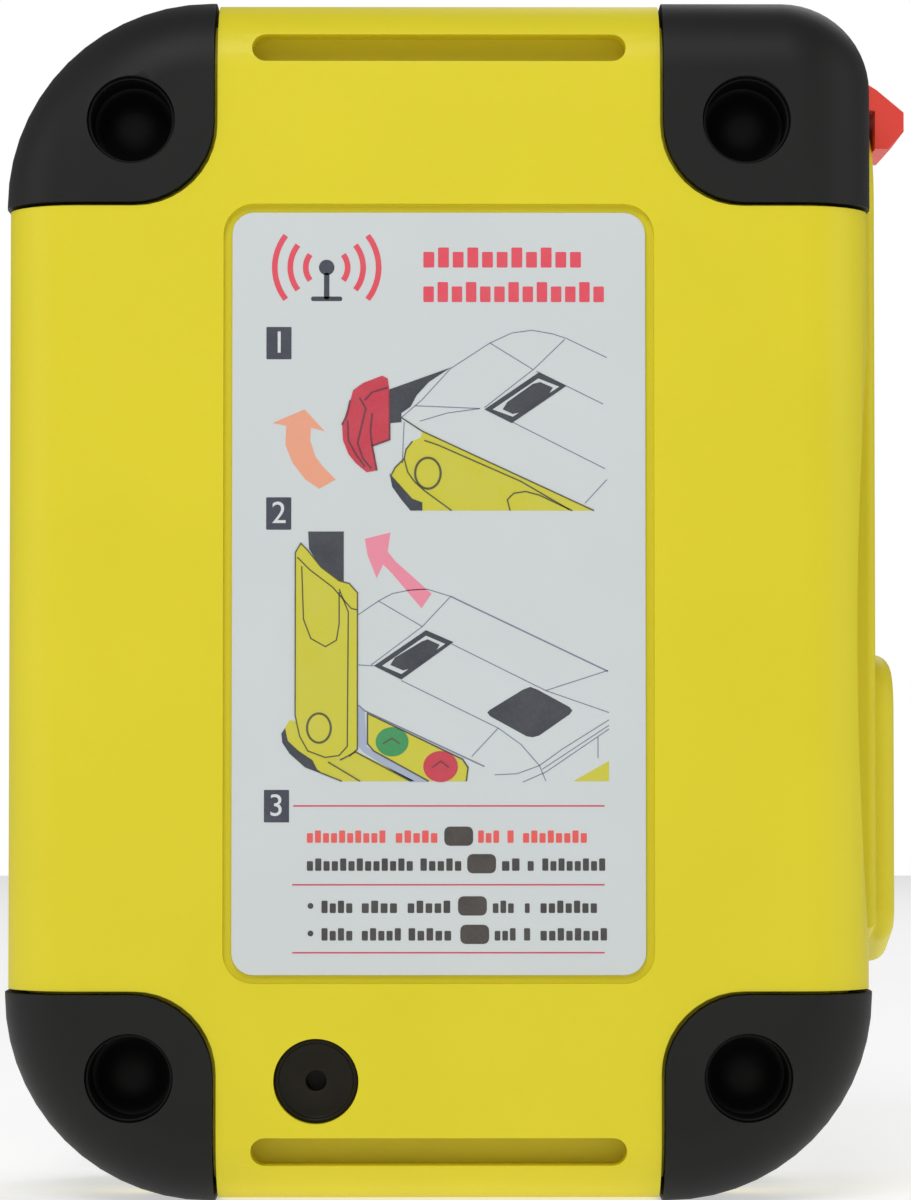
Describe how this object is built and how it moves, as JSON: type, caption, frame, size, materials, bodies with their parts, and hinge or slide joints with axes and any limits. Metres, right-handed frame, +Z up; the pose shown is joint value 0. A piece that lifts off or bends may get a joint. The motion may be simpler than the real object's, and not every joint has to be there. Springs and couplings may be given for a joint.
{
  "type": "emergency position beacon",
  "caption": "Pocket radio beacon: yellow rear case with rubber corners, white cover, side antenna arm with tape antenna, two keys.",
  "frame": {"origin": "bottom centre of the object's box, standing on its bottom edge; 2.725 mm to the arm's side and 1.825 mm in front of the case's own centre", "axes": "+Z up along the case's height, +X towards the antenna arm's side, +Y out of the front cover; the label face looks along -Y"},
  "size_m": [0.1016, 0.0444, 0.1347],
  "materials": {
    "yellow": "moulded semi-matt yellow plastic",
    "bumper_rubber": "matt black moulded rubber",
    "black_rubber": "soft black rubber",
    "label": "printed pale label film with a satin face",
    "vent": "dark olive plug",
    "cover_white": "white moulded plastic",
    "window_black": "black inlay",
    "badge": "pale inlay with a dark frame",
    "button_green": "green silicone",
    "button_red": "red silicone",
    "tab_red": "red moulded elastomer",
    "tape": "sprung tape in a black sleeve",
    "steel": "plain steel",
    "brass": "plain brass",
    "board_green": "green solder mask",
    "black_plastic": "black plastic",
    "ceramic": "fired ceramic with a metal face",
    "led": "white lamp body",
    "cell_wrap": "shrink sleeve",
    "wire_red": "insulated wire",
    "white_plastic": "natural nylon",
    "coax": "coaxial lead jacket"
  },
  "bodies": {
    "root": {"rear_case": "yellow", "bumper_top_left": "bumper_rubber", "bumper_top_right": "bumper_rubber", "bumper_bottom_left": "bumper_rubber", "bumper_bottom_right": "bumper_rubber", "screw_plugs": "black_rubber", "case_screws": "steel", "threaded_inserts": "brass", "case_seal": "black_rubber", "label_plate": "label", "vent_plug": "vent", "vent_seal": "black_rubber", "front_cover": "cover_white", "receiver_window": "window_black", "front_badge": "badge", "keypad_bezel": "yellow", "tact_switches": "black_plastic", "keypad_board": "board_green", "main_board": "board_green", "board_screws": "steel", "radio_shield": "steel", "receiver_spacer": "black_plastic", "receiver_board": "board_green", "patch_antenna": "ceramic", "strobe_leds": "led", "buzzer": "black_plastic", "battery_tray": "black_plastic", "battery_cells": "cell_wrap", "battery_contacts": "steel", "battery_leads": "wire_red", "battery_plug": "white_plastic", "antenna_socket": "brass", "antenna_lead": "coax", "pivot_pin": "steel", "arm_seal_ring": "black_rubber"},
    "arm": {"antenna_arm": "yellow", "pivot_bush": "white_plastic", "pivot_cap": "yellow", "tape_root": "tape"},
    "test_key": {"test_button": "button_green"},
    "activate_key": {"activate_button": "button_red"},
    "tape_part_1": {"tape_1": "tape"},
    "tape_part_2": {"tape_2": "tape"},
    "tape_part_3": {"tape_3": "tape"},
    "tape_part_4": {"tape_4": "tape"},
    "tape_part_5": {"tape_5": "tape"},
    "tape_part_6": {"tape_6": "tape"},
    "tape_part_7": {"tape_7": "tape"},
    "tape_part_8": {"tape_8": "tape"},
    "tape_part_9": {"tape_9": "tape", "release_tab": "tab_red"}
  },
  "joints": [
    {"name": "arm_swing", "type": "hinge", "parent": "root", "child": "arm", "pos_m": [0.04358, 0.00918, 0.1128], "axis": [1, 0, 0], "range_deg": [0, 90]},
    {"name": "test_press", "type": "slide", "parent": "root", "child": "test_key", "axis": [-1, 0, 0], "range_m": [0, 0.0009], "stiffness_N_per_m": 1500},
    {"name": "activate_press", "type": "slide", "parent": "root", "child": "activate_key", "axis": [-1, 0, 0], "range_m": [0, 0.0009], "stiffness_N_per_m": 1500},
    {"name": "tape_bend_1", "type": "hinge", "parent": "arm", "child": "tape_part_1", "pos_m": [0.04019, 0.00768, 0.01569], "axis": [0, -1, 0], "range_deg": [0, 45], "deforming": ["tape_1"]},
    {"name": "tape_bend_2", "type": "hinge", "parent": "tape_part_3", "child": "tape_part_2", "pos_m": [0.02964, 0.00768, 0.00514], "axis": [0, 1, 0], "range_deg": [0, 45], "deforming": ["tape_2"]},
    {"name": "tape_bend_3", "type": "hinge", "parent": "arm", "child": "tape_part_3", "pos_m": [0.0371, 0.00768, 0.00823], "axis": [0, -1, 0], "range_deg": [0, 90], "deforming": ["tape_3"]},
    {"name": "tape_bend_4", "type": "hinge", "parent": "tape_part_3", "child": "tape_part_4", "pos_m": [-0.03509, 0.00768, 0.00514], "axis": [0, -1, 0], "range_deg": [0, 45], "deforming": ["tape_4"]},
    {"name": "tape_bend_5", "type": "hinge", "parent": "tape_part_6", "child": "tape_part_5", "pos_m": [-0.04564, 0.00768, 0.01569], "axis": [0, 1, 0], "range_deg": [0, 45], "deforming": ["tape_5"]},
    {"name": "tape_bend_6", "type": "hinge", "parent": "tape_part_3", "child": "tape_part_6", "pos_m": [-0.04255, 0.00768, 0.00823], "axis": [0, -1, 0], "range_deg": [0, 90], "deforming": ["tape_6"]},
    {"name": "tape_bend_7", "type": "hinge", "parent": "tape_part_6", "child": "tape_part_7", "pos_m": [-0.04564, 0.00768, 0.11731], "axis": [0, -1, 0], "range_deg": [0, 45], "deforming": ["tape_7"]},
    {"name": "tape_bend_8", "type": "hinge", "parent": "tape_part_9", "child": "tape_part_8", "pos_m": [-0.03509, 0.00768, 0.12786], "axis": [0, 1, 0], "range_deg": [0, 45], "deforming": ["tape_8"]},
    {"name": "tape_bend_9", "type": "hinge", "parent": "tape_part_6", "child": "tape_part_9", "pos_m": [-0.04255, 0.00768, 0.12477], "axis": [0, -1, 0], "range_deg": [0, 90], "deforming": ["tape_9", "release_tab"]}
  ],
  "couplings": [
    {"joint": "tape_bend_1", "follows": "arm_swing", "ratio": 0.5},
    {"joint": "tape_bend_2", "follows": "arm_swing", "ratio": 0.5},
    {"joint": "tape_bend_3", "follows": "arm_swing", "ratio": 1},
    {"joint": "tape_bend_4", "follows": "arm_swing", "ratio": 0.5},
    {"joint": "tape_bend_5", "follows": "arm_swing", "ratio": 0.5},
    {"joint": "tape_bend_6", "follows": "arm_swing", "ratio": 1},
    {"joint": "tape_bend_7", "follows": "arm_swing", "ratio": 0.5},
    {"joint": "tape_bend_8", "follows": "arm_swing", "ratio": 0.5},
    {"joint": "tape_bend_9", "follows": "arm_swing", "ratio": 1}
  ]
}
